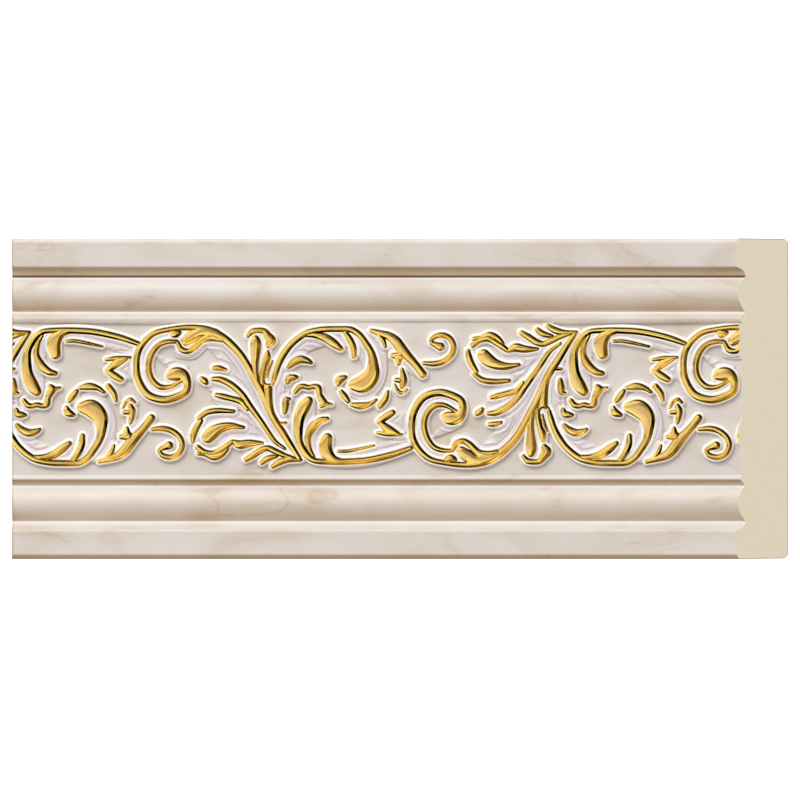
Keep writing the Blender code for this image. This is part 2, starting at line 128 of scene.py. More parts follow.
# The scroll in the moulding's field.
# The real one is pressed into the soft foam by an engraved roller: leaves and stems stand up from the
# field, and hollow channels with rounded rims run down the middle of each. Every other time it is
# upside down. A stroke is a list of (along, up, half width) points.
HALF_REPEAT = 127.8
TURNED_SHIFT = 0.9
REPEATS = (-1, 0, 1, 2)
SCROLL_START = 57.0
SCROLL_AXIS = 1.2
SCROLL_DATUM = -0.75
SCROLL_MARGIN = 0.4
GRID_STEP = 0.25
STROKE_STEP = 0.25
FIELD_REACH = 4.6
CURVE_ERROR = 0.027

CHANNELS = {
    "volute": [
        (16.6, 9.9, 1), (19, 11, 2.6), (22.6, 10.6, 2.3), (24.9, 6.9, 1.3), (24.2, 3, 1.2),
        (20.3, 0.6, 1.25), (14, -0.9, 1.25), (6.6, 1.4, 1.25), (2.1, 8.3, 1.15), (1.1, 15.2, 1),
        (2.4, 22.6, 1), (8.8, 29.7, 0.8), (17.5, 32.1, 0.7), (27, 32.8, 0.9), (35, 31.6, 1.1),
        (41.8, 28, 1.3), (49.2, 21, 1.1), (53.3, 14.8, 1.1), (57, 8, 1.2), (60.5, 1.5, 1.2),
        (63.5, -6, 1.1), (66.4, -11.5, 1.1), (69.4, -16, 1.1), (73, -22, 1), (77.2, -28.2, 0.5),
    ],
    "volute lining": [
        (20, 26.2, 0.4), (15.5, 26.1, 0.6), (11.3, 24.4, 0.7), (8, 19.6, 0.8), (6.9, 14, 0.8),
        (8.2, 8.9, 0.8), (12, 5.2, 0.8), (16.4, 5, 0.6), (22.6, 8.2, 0.25),
    ],
    "crest hollow": [
        (24.3, 26.4, 1.7), (26.6, 28.2, 2.3), (31, 30.4, 2), (37, 30.2, 1.9), (41, 28.4, 1.3),
    ],
    "crest frill": [
        (20.4, 25.6, 0.5), (22, 22.7, 0.8), (25, 21.7, 0.8), (28, 23.2, 0.9), (32, 27, 1.1),
        (36, 28.4, 1.6), (41, 27.2, 0.9),
    ],
    "crest nick": [(17.4, 30.5, 0.5), (19.2, 29.9, 1.4), (21.3, 30.4, 0.5)],
    "upper bud": [(37.4, 13.9, 0.5), (39.6, 13.9, 0.8), (42.8, 13.1, 0.3)],
    "lower bud": [(31.7, 8.7, 0.8), (33, 7.9, 1), (33.9, 6.8, 0.4)],
    "long leaf": [
        (36.8, 8.8, 0.5), (40, 8.6, 0.9), (45, 6.4, 1), (50.5, 1.6, 0.9), (54.3, -4, 0.9),
        (58.6, -10, 0.8), (63, -16.5, 0.7), (66, -20.5, 0.5), (70.5, -23.8, 0.2),
    ],
    "short leaf": [
        (38.4, 1.3, 0.5), (41.5, 0.6, 0.9), (45.5, -0.4, 0.8), (50, -1.8, 0.9), (53, -5.4, 0.4),
    ],
    "left lobe top": [(30.4, -9.4, 0.6), (34, -6.9, 0.8), (39, -6, 0.8), (46.5, -6.4, 0.4)],
    "left lobe side": [(31.3, -10.8, 0.6), (29.2, -14, 1), (27.8, -17.5, 1), (27.4, -20.3, 0.5)],
    "left lobe hollow": [
        (34.7, -18.4, 2.3), (36.3, -16.6, 2.5), (40, -14.3, 1.9), (45, -13.2, 1.2),
        (51.2, -13.9, 0.3),
    ],
    "left lobe foot": [
        (29.7, -23.2, 0.8), (33, -25.3, 0.7), (37, -25.9, 0.8), (41.5, -23.7, 0.9),
        (45.8, -20.6, 0.6),
    ],
    "left lobe beads": [
        (30.1, -26, 0.5), (33.2, -26.7, 0.3), (37.8, -27.7, 1.1), (41.2, -26.3, 0.8),
        (43.6, -24, 0.3),
    ],
    "left lobe tip": [(46.6, -20.6, 0.6), (49.4, -21.9, 1.5), (54, -21.2, 1.2), (59.8, -21.2, 0.3)],
    "first finger": [
        (52.4, -28.8, 0.7), (55.5, -27, 1), (59.5, -24.4, 1), (62.5, -23.6, 0.9), (66, -25, 0.9),
        (70, -26.8, 0.7), (75, -28.4, 0.3),
    ],
    "second finger": [(59.8, -30.2, 0.7), (62.4, -28.4, 0.9), (66.5, -27.3, 0.4)],
    "third finger": [(64.8, -32, 0.6), (67.5, -30.3, 1), (72, -28.9, 0.9), (78, -29.1, 0.3)],
    "bell left": [
        (56.8, 27.5, 1.2), (56.9, 25, 2), (56.7, 20, 1.5), (56.6, 15, 1), (57, 10, 0.9),
        (58.6, 5, 0.6),
    ],
    "bell crown": [
        (53.2, 28.8, 0.4), (55, 30.9, 0.8), (58.5, 31.5, 0.8), (61, 31, 0.9), (62.6, 28.8, 1.4),
        (64, 26.6, 1.8), (63, 24.6, 0.9),
    ],
    "bell right": [(62.4, 21.4, 0.3), (62.2, 19, 1.2), (61, 15.5, 0.9), (60, 11, 0.8), (59.8, 7, 0.7)],
    "bell cup": [
        (60.2, 8.4, 0.3), (60.9, 6.4, 0.3), (62.6, 5.7, 0.3), (64.5, 6.2, 0.3), (65.2, 8.2, 0.3),
    ],
    "bell vein": [(64.4, 17, 0.1), (63, 13.5, 0.2), (62, 9.5, 0.1)],
    "bell neck": [(62.6, 4.3, 1.5), (62.6, 1, 1.5), (63.4, -4, 1.1), (65, -9, 0.8), (67, -13, 0.5)],
    "arch": [
        (65.2, 8, 0.6), (66, 11, 0.9), (67.4, 15.2, 0.9), (69.7, 20, 1.1), (73.5, 25, 1),
        (80, 29.9, 1), (87, 31.8, 0.9), (95, 32.1, 0.9), (101.5, 31.8, 0.9), (105.2, 29.6, 0.9),
        (108, 26, 1), (110.9, 21.2, 1.1), (111.8, 16, 1.8), (111, 10.4, 3), (107, 6.5, 3.6),
        (102.7, 6, 2),
    ],
    "arch first leaf": [
        (80, 29.2, 0.4), (85, 29.2, 0.9), (89.5, 28, 1.4), (93.5, 25.3, 1.4), (96.6, 22.9, 0.7),
    ],
    "arch second leaf": [(98.8, 30.3, 0.7), (101, 27, 1), (102.6, 23, 1), (102.8, 19.4, 0.7)],
    "inner bud": [
        (72.4, 14.5, 0.5), (74.8, 16.6, 1.1), (78, 17.9, 1.3), (81, 17.3, 0.9), (82.8, 16.3, 0.3),
    ],
    "inner seed": [(71.9, 7.2, 0.5), (72.6, 9, 1), (74.4, 9.5, 1), (76, 9.6, 0.4)],
    "inner spur": [(72.6, -0.6, 0.3), (71.2, -0.9, 0.7), (70.9, -3, 1.1), (70.5, -6.6, 0.6)],
    "inner dash": [(68.4, -11.9, 0.2), (70.8, -11.9, 0.2)],
    "crown": [
        (75.4, 2.8, 0.6), (77, 4.8, 0.8), (79, 5.4, 0.7), (81.5, 4.8, 0.7), (84, 5.3, 0.7),
        (86, 4.7, 1), (86.5, 2.4, 0.9),
    ],
    "crown drop": [(86.7, 1.4, 0.8), (87.8, -1, 1.2), (88.7, -2.6, 1.2), (87.6, -3.9, 0.5)],
    "crown point": [(89.6, -2.6, 0.5), (92.3, -3.2, 0.1)],
    "tall lobe": [
        (81.6, -1.4, 1.5), (79.6, -4, 2.3), (77.4, -9, 2), (76.8, -15, 1.6), (77.3, -20.5, 1.2),
        (79.8, -25.6, 1.2), (84, -29.2, 0.8), (90, -30, 0.8), (98, -29.9, 1), (107, -29.4, 1),
        (115, -28, 1), (122, -26.2, 0.9), (129.3, -23.6, 0.6),
    ],
    "middle lobe": [
        (90.2, -9.9, 0.6), (87.3, -10.6, 1.1), (83.5, -13.8, 1.4), (81.2, -18.5, 1), (82, -24, 0.6),
        (84, -27.5, 0.2),
    ],
    "low lobe": [
        (90.3, -18.8, 1.8), (89.5, -22, 2.4), (90, -25.5, 2.4), (93, -28.6, 1.4), (97, -29.9, 0.9),
    ],
    "stem line": [(95.5, -24.9, 0.2), (99, -25, 0.3), (104, -24.2, 0.3), (112, -22.4, 0.1)],
    "first petal": [(95.3, 6.2, 0.5), (96, 8.3, 1.3), (98.7, 9.6, 0.5)],
    "second petal": [(96.8, 2.8, 0.6), (98.2, 0.9, 1), (100, -1.5, 0.6)],
    "third petal": [(101.8, -3.2, 0.5), (105.8, -3.8, 1.2), (110, -3, 0.7), (113, -1, 0.2)],
    "fourth petal": [(118.5, 2.8, 0.3), (117.4, -0.6, 0.9), (115, -3.8, 0.9)],
    "notched leaf": [(120.8, -7, 0.9), (117.8, -8.8, 1.2), (114.6, -11.2, 0.8)],
    "notched leaf fold": [(115.6, -12, 0.9), (118.8, -14.6, 1.4), (123, -16.8, 0.7)],
    "notched leaf tip": [(113.8, -16.3, 0.2), (118, -16.9, 0.6), (125, -17.3, 0.2)],
    "flower": [
        (110.8, 31.4, 0.4), (115.5, 30, 1), (119.4, 28.7, 1.4), (122.4, 26.4, 1.8),
        (124.6, 23.4, 1.9), (127.2, 20.2, 1.7), (130.8, 16.4, 1.2), (135, 11, 1.3),
    ],
    "flower rim": [(114.4, 29.2, 0.4), (116.4, 26.8, 0.6), (117.4, 24, 0.3)],
    "flower waist": [(120.8, 19.8, 0.6), (124.4, 19.4, 1.5)],
    "flower lip": [(123.6, 18, 1.2), (123.6, 15.8, 0.4)],
    "flower drop": [(125.2, 13.2, 0.3), (125.8, 10.5, 0.8), (126, 7.5, 1.1), (125.2, 5.4, 0.7)],
    "flower drop side": [(122.3, 8.3, 0.5), (124.6, 8.1, 0.8)],
    "flower drop ring": [(121.8, 6, 0.1), (123.4, 3.2, 0.3), (125.4, 2.2, 0.3), (127.4, 3.8, 0.1)],
    "tendril": [
        (135.4, 16.2, 0.4), (140.5, 15.9, 0.8), (145, 17.2, 0.8), (148.4, 20.3, 0.8),
        (149.4, 24, 0.8), (147.4, 27.9, 0.8), (143.6, 29.3, 0.8), (139.6, 27.9, 0.6),
        (138.9, 25.9, 0.5), (141.4, 24.6, 0.9), (143.3, 23.8, 1.4),
    ],
}

BODIES = {
    "volute": [
        (24.2, 4.4, 2.4), (19, 1.1, 3.4), (13.6, 0.9, 3.6), (8.2, 3.4, 3.6), (4.9, 8.6, 3.6),
        (4.4, 14.6, 3.6), (5.9, 20.3, 3.7), (10, 25.4, 3.8), (16, 28.3, 3.8), (24, 28, 3.2),
    ],
    "main stem": [
        (24, 28.6, 3.6), (33, 28.4, 4.2), (40.3, 24.2, 5.2), (50.4, 10, 5.2), (60, -7.4, 4.2),
        (71, -21.8, 2.6), (76, -27.4, 1.4),
    ],
    "crest": [(21.5, 21.2, 3.0), (27, 20.8, 3.0), (31.5, 24.2, 2.8)],
    "eye leaf": [(10.6, 20, 0.8), (14, 17.6, 2), (18.6, 15.4, 2.4), (24, 14, 1.4)],
    "web": [(40, 0.6, 4.2), (48, -3.5, 2.6)],
    "leaf pair": [(36.8, 5, 2.6), (41.5, 3.8, 3.8), (52, -4.6, 2.6), (65, -18.8, 1.6)],
    "left lobe": [
        (31.6, -17, 4.8), (37, -14, 8.4), (43, -12.4, 7.6), (50, -13.4, 6.0), (58, -17.3, 4),
        (73, -26, 1.6),
    ],
    "fingers": [(58, -26.6, 2.6), (65, -27.4, 2.6), (79, -29, 1.8)],
    "bell left": [(56.8, 27, 4.4), (57.2, 18, 3.2), (57.6, 10, 2.4), (60.4, 3, 2.2)],
    "bell right": [(62, 29.4, 3.0), (62.3, 16, 2.6), (62.6, 3, 2.4), (64, -4, 2)],
    "arch": [
        (76, -27, 1.8), (73, -18.6, 3.4), (69.8, -8, 4.4), (68.8, 2, 4.2), (69.8, 11, 4.2),
        (73, 18.6, 4.4), (78.2, 24.6, 4.8), (84.6, 27.8, 5.0), (91, 28.4, 4.2), (98, 28, 4.2),
        (104.4, 25.6, 4.6), (108.6, 20.4, 4.0), (111, 13, 3.6),
    ],
    "lobes": [(80, -3, 5.2), (79.6, -10, 5.2), (80.4, -18, 5.2), (83, -25, 5.0), (88, -27.6, 4.6)],
    "low stem": [
        (86, -27.4, 4.4), (97, -28.7, 4.6), (107, -28.2, 4.6), (117, -25.6, 4.8), (131, -20, 4),
    ],
    "comma": [
        (102, 4.5, 4), (107.5, 3.5, 5), (112, 8, 5), (115.4, 16, 3.2), (113.6, 24, 3.2), (108.4, 30, 2.4),
    ],
    "notched leaf": [(114.8, -12.2, 2.4), (119, -12.2, 4.6), (131, -11, 5.4)],
    "flower": [
        (112.5, 30.3, 1.8), (118.6, 26.6, 3.4), (122.6, 21.8, 4.0), (127, 17, 3.8), (134.6, 10, 2.0),
    ],
    "flower drop": [(124.8, 14, 1.8), (125.4, 9, 2.4), (125, 5.8, 2.6)],
    "tendril eye": [(142.4, 25.4, 3.2), (143, 24, 2.6)],
}

CREASE_HALF = 0.45
CREASES = {
    "stem shoulder": [(39, 23.5, 0.3), (43, 20, 0.4), (47, 15, 0.4), (50, 10, 0.3)],
    "stem middle": [(47, 20.5, 0.3), (53, 9, 0.45), (60, -5, 0.45), (67, -17, 0.45), (74, -26, 0.3)],
    "stem foot": [(56, -3.5, 0.3), (62, -11.5, 0.45), (70, -21.5, 0.4), (75, -27, 0.3)],
    "lobe middle": [(47, -10, 0.3), (55, -13, 0.4), (64, -20, 0.4), (72, -25.4, 0.3)],
    "arch middle": [(74, -22, 0.3), (71.6, -8, 0.45), (70.6, 3, 0.45), (72.5, 12, 0.45), (77, 20, 0.3)],
}


def curve_through(knots):
    """Close points on a smooth curve through the knots."""
    knots = np.array(knots, float)
    knots = np.vstack([2 * knots[0] - knots[1], knots, 2 * knots[-1] - knots[-2]])
    pieces = []
    for first, start, end, last in zip(knots[:-3], knots[1:-2], knots[2:-1], knots[3:]):
        before, along, after = (
            math.sqrt(math.dist(p[:2], q[:2])) for p, q in ((first, start), (start, end), (end, last))
        )
        into = along * ((start - first) / before - (end - first) / (before + along) + (end - start) / along)
        out = along * ((end - start) / along - (last - start) / (along + after) + (last - end) / after)
        t = np.linspace(0, 1, max(2, int(math.dist(start[:2], end[:2]) / STROKE_STEP)), endpoint=False)
        t = t[:, None]
        pieces.append(
            (2 * t**3 - 3 * t**2 + 1) * start
            + (t**3 - 2 * t**2 + t) * into
            + (3 * t**2 - 2 * t**3) * end
            + (t**3 - t**2) * out
        )
    pieces.append(knots[-2:-1])
    return np.vstack(pieces)


def depth_inside(strokes, xs, zs):
    """How far inside the strokes each grid point lies, and below zero outside them."""
    inside = np.full((len(zs), len(xs)), -FIELD_REACH)
    for repeat in REPEATS:
        turned = repeat % 2 == 1
        for stroke in strokes.values():
            points = curve_through(stroke)
            points[:, 0] += LEFT_END + SCROLL_START + HALF_REPEAT * repeat + TURNED_SHIFT * turned
            points[:, 1] = SCROLL_AXIS + (points[:, 1] + SCROLL_DATUM) * (-1 if turned else 1)
            for x, z, half in points:
                reach = half + FIELD_REACH
                columns = slice(*np.searchsorted(xs, (x - reach, x + reach)))
                rows = slice(*np.searchsorted(zs, (z - reach, z + reach)))
                distance = np.hypot(xs[None, columns] - x, zs[rows, None] - z)
                window = inside[rows, columns]
                np.maximum(window, half - distance, out=window)
    return inside


def contour(inside, xs, zs, level):
    """The chains of points along which the grid's values pass the level."""
    above = inside > level
    across = above[:, :-1] != above[:, 1:]
    upwards = above[:-1] != above[1:]
    with np.errstate(divide="ignore", invalid="ignore"):
        part_across = (level - inside[:, :-1]) / (inside[:, 1:] - inside[:, :-1])
        part_up = (level - inside[:-1]) / (inside[1:] - inside[:-1])
    points = {}
    for row, column in np.argwhere(across).tolist():
        points[(row, column, 0)] = (xs[column] + GRID_STEP * part_across[row, column], zs[row])
    for row, column in np.argwhere(upwards).tolist():
        points[(row, column, 1)] = (xs[column], zs[row] + GRID_STEP * part_up[row, column])
    joins = {edge: [] for edge in points}
    corners_above = above[:-1, :-1] + 0 + above[1:, :-1] + above[:-1, 1:] + above[1:, 1:]
    for row, column in np.argwhere((corners_above > 0) & (corners_above < 4)).tolist():
        around = [(row, column, 0), (row, column + 1, 1), (row + 1, column, 0), (row, column, 1)]
        crossed = [edge for edge in around if edge in points]
        for start, end in zip(crossed[::2], crossed[1::2]):
            joins[start].append(end)
            joins[end].append(start)
    chains = []
    for edge in sorted(joins, key=lambda edge: len(joins[edge])):
        if not joins[edge]:
            continue
        chain = [edge]
        while joins[chain[-1]]:
            following = joins[chain[-1]].pop()
            joins[following].remove(chain[-1])
            chain.append(following)
        chains.append(np.array([points[step] for step in chain]))
    return chains


def simplified(chain, error):
    """The chain with only the points that its shape needs."""
    last = len(chain) - 1
    stops = [0, last // 2, last] if math.dist(chain[0], chain[-1]) < GRID_STEP else [0, last]
    kept = set(stops)
    spans = list(zip(stops, stops[1:]))
    while spans:
        first, last = spans.pop()
        if last - first < 2:
            continue
        run = chain[last] - chain[first]
        offsets = chain[first + 1 : last] - chain[first]
        away = np.abs(offsets[:, 0] * run[1] - offsets[:, 1] * run[0]) / max(math.hypot(*run), 1e-9)
        farthest = int(away.argmax())
        if away[farthest] > error:
            kept.add(first + 1 + farthest)
            spans += [(first, first + 1 + farthest), (first + 1 + farthest, last)]
    return chain[sorted(kept)]


def sampled(inside, xs, zs, points):
    """The grid's values at points between its own."""
    column = np.clip((points[:, 0] - xs[0]) / GRID_STEP, 0, len(xs) - 1.001)
    row = np.clip((points[:, 1] - zs[0]) / GRID_STEP, 0, len(zs) - 1.001)
    i = column.astype(int)
    j = row.astype(int)
    u = column - i
    v = row - j
    lower = inside[j, i] * (1 - u) + inside[j, i + 1] * u
    upper = inside[j + 1, i] * (1 - u) + inside[j + 1, i + 1] * u
    return lower * (1 - v) + upper * v


def smooth(value):
    """An ease from 0 to 1."""
    value = np.clip(value, 0, 1)
    return value * value * (3 - 2 * value)


def quarter_round(value):
    """From 0 to 1, steep at first and level at the end."""
    return np.sqrt(1 - (1 - np.clip(value, 0, 1)) ** 2)


# Heights above the field, and distances from the edge of a channel or body, above zero inside it.
RIM_RISE = 1.9
RIM_WIDTH = 1.6
RIM_SHOULDER = 0.5
RIM_CREST = -0.7
FOOT_MARGIN = 0.03
GILT_EDGE = -0.55
BODY_RISE = 1.45
BODY_SHOULDER = 1.5
CHANNEL_DEPTH = 0.75
CHANNEL_SIDE = 0.5
# The gilt's dark edge, partly umber and partly painted shade: how much wider it lies along the right and
# lower walls, and how far it reaches in from the gilt's edge.
PAINTED_SHADE_RIGHT = 0.87
PAINTED_SHADE_DOWN = 0.5
UMBER_AND_SHADE_LEAST = -0.2
UMBER_AND_SHADE_MOST = 1.6
HOLLOW_DEPTH = 0.25
HOLLOW_SIDE = 2.0
FLUTE_DEPTH = 0.6
FLUTE_PITCH = 2.2
FLUTE_MARGIN = 1.0
CREASE_DEPTH = 0.8
# The distances at which the mesh has lines, closest where the carving turns most.
CHANNEL_LEVELS = (
    -2.4, -1.6, -1.54, -1.4, -1.25, -1.1, -0.95, -0.7, -0.55, -0.4, -0.25, -0.1,
    0.1, 0.3, 0.5, 0.8, 1.3, 2.0, 2.8,
)
BODY_LEVELS = (-0.8, 0.0, 0.1, 0.35, 0.8, 1.5)
CREASE_LEVELS = (0.0, 0.3)
FLUTE_LEVELS = (-2.0, -2.25, -2.7, -2.95, -3.3, -3.6, -3.95, -4.3)


def relief_height(channel, body, crease):
    """The carving's rise above the field, from the depths inside channels, bodies and creases."""
    rim = RIM_RISE * quarter_round((channel + RIM_WIDTH - FOOT_MARGIN) / RIM_SHOULDER)
    mass = BODY_RISE * quarter_round((body - FOOT_MARGIN) / BODY_SHOULDER)
    mass = mass - CREASE_DEPTH * smooth(crease / CREASE_HALF) * smooth(body)
    turn = 2 * np.pi * np.clip(-RIM_WIDTH - channel, 0, None) / FLUTE_PITCH
    mass = mass - FLUTE_DEPTH * (0.5 - 0.5 * np.cos(turn)) * smooth(body / FLUTE_MARGIN)
    wall = CHANNEL_DEPTH * smooth((channel - RIM_CREST) / (CHANNEL_SIDE - RIM_CREST))
    hollow = HOLLOW_DEPTH * smooth(channel / HOLLOW_SIDE)
    return np.maximum(rim, mass) - wall - hollow


def runs_where(kept, chain):
    """The parts of the chain at whose points the condition holds."""
    changes = np.flatnonzero(kept[1:] != kept[:-1]) + 1
    runs = np.split(chain, changes)
    return [run for number, run in enumerate(runs) if (number % 2 == 0) == kept[0] and len(run) > 2]


def carved_field():
    """The field's face: points, rise of the carving, depths inside its parts, and triangles."""
    clear = FIELD_EDGE - SCROLL_MARGIN
    xs = np.arange(ROUGH_LEFT + 1, ROUGH_RIGHT - 1, GRID_STEP)
    zs = np.arange(-clear, clear, GRID_STEP)
    channel = depth_inside(CHANNELS, xs, zs)
    body = depth_inside(BODIES, xs, zs)
    crease = depth_inside(CREASES, xs, zs)
    lines = []
    for level in CHANNEL_LEVELS:
        lines += contour(channel, xs, zs, level)
    between_rims = [(body, level) for level in BODY_LEVELS]
    between_rims += [(crease, level) for level in CREASE_LEVELS]
    for inside, level in between_rims:
        for chain in contour(inside, xs, zs, level):
            lines += runs_where(sampled(channel, xs, zs, chain) < -RIM_WIDTH, chain)
    for level in FLUTE_LEVELS:
        for chain in contour(channel, xs, zs, level):
            lines += runs_where(sampled(body, xs, zs, chain) > 0, chain)
    points = [(ROUGH_LEFT, -FIELD_EDGE), (ROUGH_RIGHT, -FIELD_EDGE)]
    points += [(ROUGH_RIGHT, FIELD_EDGE), (ROUGH_LEFT, FIELD_EDGE)]
    edges = [(0, 1), (1, 2), (2, 3), (3, 0)]
    for chain in lines:
        chain = simplified(chain, CURVE_ERROR)
        if len(chain) < 3:
            continue
        first = len(points)
        points += [tuple(point) for point in chain]
        edges += [(first + n, first + n + 1) for n in range(len(chain) - 1)]
    flat, _, faces, *_ = delaunay_2d_cdt([Vector(point) for point in points], edges, [], 0, 0.01)
    places = np.array([tuple(point) for point in flat])
    in_channel = sampled(channel, xs, zs, places)
    in_body = sampled(body, xs, zs, places)
    rise = relief_height(in_channel, in_body, sampled(crease, xs, zs, places))
    rise[np.abs(places[:, 1]) > FIELD_EDGE - 0.5 * SCROLL_MARGIN] = 0
    # How much each place faces down and to the right. Along the channels this widens the gilt's dark edge
    # as painted shade, and over the whole carving it places the lacquer's painted shade and rim highlights.
    facing = []
    for depth in (channel, np.maximum(body, channel + RIM_WIDTH)):
        along_z, along_x = np.gradient(depth, GRID_STEP)
        facing.append(sampled(PAINTED_SHADE_DOWN * along_z - PAINTED_SHADE_RIGHT * along_x, xs, zs, places))
    edge_umber_and_shade = UMBER_AND_SHADE_LEAST + (UMBER_AND_SHADE_MOST - UMBER_AND_SHADE_LEAST) * smooth(0.4 + 0.6 * facing[0])
    depths = {
        "gilt_depth": in_channel,
        "bright_depth": in_channel - GILT_EDGE - edge_umber_and_shade,
        "body_depth": np.maximum(in_body, in_channel + RIM_WIDTH),
        "lower_right": facing[1],
    }
    return places, rise, depths, faces


corners, strips = section_strips()
places, rise, depths, triangles = carved_field()
field_start = len(corners)
corners += [(x, -FIELD_HEIGHT - up, z) for (x, z), up in zip(places.tolist(), rise.tolist())]
mesh = bpy.data.meshes.new("moulding_face")
mesh.from_pydata(
    [(x * MM, y * MM, z * MM) for x, y, z in corners],
    [],
    strips + [tuple(field_start + n for n in face) for face in triangles],
)
for name, depth in depths.items():
    values = np.full(len(corners), -FIELD_REACH)
    values[field_start:] = depth
    mesh.attributes.new(name, "FLOAT", "POINT").data.foreach_set("value", values)
moulding = bpy.data.objects.new("moulding_face", mesh)
bpy.context.scene.collection.objects.link(moulding)
bpy.context.view_layer.objects.active = moulding
moulding.select_set(True)

# The field is joined to the strips, and the ends are sawn: the left one square, the right one to a mitre.
MERGE_DISTANCE = 0.01
SAW_TOLERANCE = 0.002
bpy.ops.object.mode_set(mode="EDIT")
bpy.ops.mesh.select_all(action="SELECT")
bpy.ops.mesh.remove_doubles(threshold=MERGE_DISTANCE * MM)
for end, outward in ((LEFT_END, (-1, 0, 0)), (RIGHT_END, (1, -1, 0))):
    bpy.ops.mesh.select_all(action="SELECT")
    bpy.ops.mesh.bisect(
        plane_co=(end * MM, 0, 0),
        plane_no=outward,
        use_fill=True,
        clear_outer=True,
        threshold=SAW_TOLERANCE * MM,
    )
bpy.ops.mesh.select_all(action="SELECT")
bpy.ops.mesh.normals_make_consistent(inside=False)
bpy.ops.object.mode_set(mode="OBJECT")
bpy.ops.object.shade_smooth_by_angle(angle=math.radians(40))


# The finish of the moulding.
# The real face is lacquered ivory, clouded by hand and gilded in the channels, then washed with umber,
# which is wiped off again and stays in the quirks and channels. Its colours also hold painted shade in the
# quirks, on the lower arris and along the lower right of the carving, and painted highlights on the rims
# and arrises. The back and the sawn ends are bare.
def linear(colour):
    """An sRGB hex colour as linear RGBA."""
    found = []
    for start in (1, 3, 5):
        value = int(colour[start : start + 2], 16) / 255
        found.append(value / 12.92 if value <= 0.04045 else ((value + 0.055) / 1.055) ** 2.4)
    return (*found, 1.0)


def add(material, kind, inputs=None, stops=(), **settings):
    """A node with its settings. An input is a socket to link, a hex colour or a value."""
    node = material.node_tree.nodes.new(kind)
    for name, value in settings.items():
        setattr(node, name, value)
    for name, value in (inputs or {}).items():
        if isinstance(value, bpy.types.NodeSocket):
            material.node_tree.links.new(value, node.inputs[name])
        else:
            node.inputs[name].default_value = linear(value) if isinstance(value, str) else value
    if stops:
        elements = node.color_ramp.elements
        while len(elements) < len(stops):
            elements.new(0.5)
        for element, (position, colour) in zip(elements, stops):
            element.position = position
            element.color = linear(colour)
    return node


def coated(material, colour, coats):
    """The colour under coats of (coat colour, strength, masks). A mask goes from 0 at start to 1 at end."""
    for coat, strength, masks in coats:
        for place, start, end in masks:
            mask = add(
                material,
                "ShaderNodeMapRange",
                {"Value": place, "From Min": start, "From Max": end},
                interpolation_type="SMOOTHSTEP",
            )
            inputs = {0: strength, 1: mask.outputs["Result"]}
            strength = add(material, "ShaderNodeMath", inputs, operation="MULTIPLY").outputs[0]
        inputs = {0: strength, 6: colour, 7: coat}
        colour = add(material, "ShaderNodeMix", inputs, data_type="RGBA").outputs[2]
    return colour


def new_material(name):
    """A material with its shader and its links."""
    material = bpy.data.materials.new(name)
    material.use_nodes = True
    return material, material.node_tree.nodes["Principled BSDF"], material.node_tree.links


# Across the face, from its lower edge up: what the lacquer's colour is multiplied by, a warm umber tint in
# the cove and beside the ovolos, with painted shade in the upper quirk, beside the lower bead and on the
# lower arris; and how strongly painted highlights along the arrises turn it white, as a grey.
UMBER_AND_PAINTED_SHADE = (
    (-75, "#D2C3A9"), (-73.2, "#D2C3A9"), (-72.4, "#FFFFFF"), (-57.2, "#FFFFFF"), (-56.4, "#FFF2DE"),
    (-53, "#FFFAF2"), (-40.2, "#FFFFFF"), (-39.6, "#F6E4CA"), (-38, "#E0C49C"), (-37.5, "#FFFFFF"),
    (41, "#FFFFFF"), (41.4, "#F2DEC2"), (44, "#FCF0DE"), (48, "#FFFFFF"), (56.6, "#FFFFFF"),
    (56.85, "#4E402C"), (57.35, "#4E402C"), (57.7, "#FFE2BE"), (58.4, "#FFF0D6"), (59.9, "#FFF0D6"),
    (60.4, "#FCE4C6"), (61.4, "#FFFFFF"),
)
# Painted highlights: thin bright lines along the quirks and beads, where the arrises catch the light.
PAINTED_HIGHLIGHTS = (
    (-58.8, "#000000"), (-58, "#C0C0C0"), (-57.6, "#C0C0C0"), (-57, "#000000"), (-41.8, "#000000"),
    (-41.2, "#B0B0B0"), (-40.7, "#B0B0B0"), (-40.3, "#000000"), (-37.2, "#000000"),
    (-36.8, "#B0B0B0"), (-36.3, "#000000"), (39.4, "#000000"), (40, "#C0C0C0"), (40.5, "#C0C0C0"),
    (40.9, "#000000"), (55.4, "#000000"), (56, "#C0C0C0"), (56.4, "#C0C0C0"), (56.7, "#000000"),
)
# Noise scales from real sizes: clouds 23 mm across and veins 29 mm apart.
CLOUDS = 1 / (22.73 * MM)
VEINS = 1 / (29.41 * MM)
VEIN_SLANT = 0.5
# The dark line along the sawn left end: its width, and then its fade.
SAWN_LINE = 0.3
SAWN_FADE = 0.4


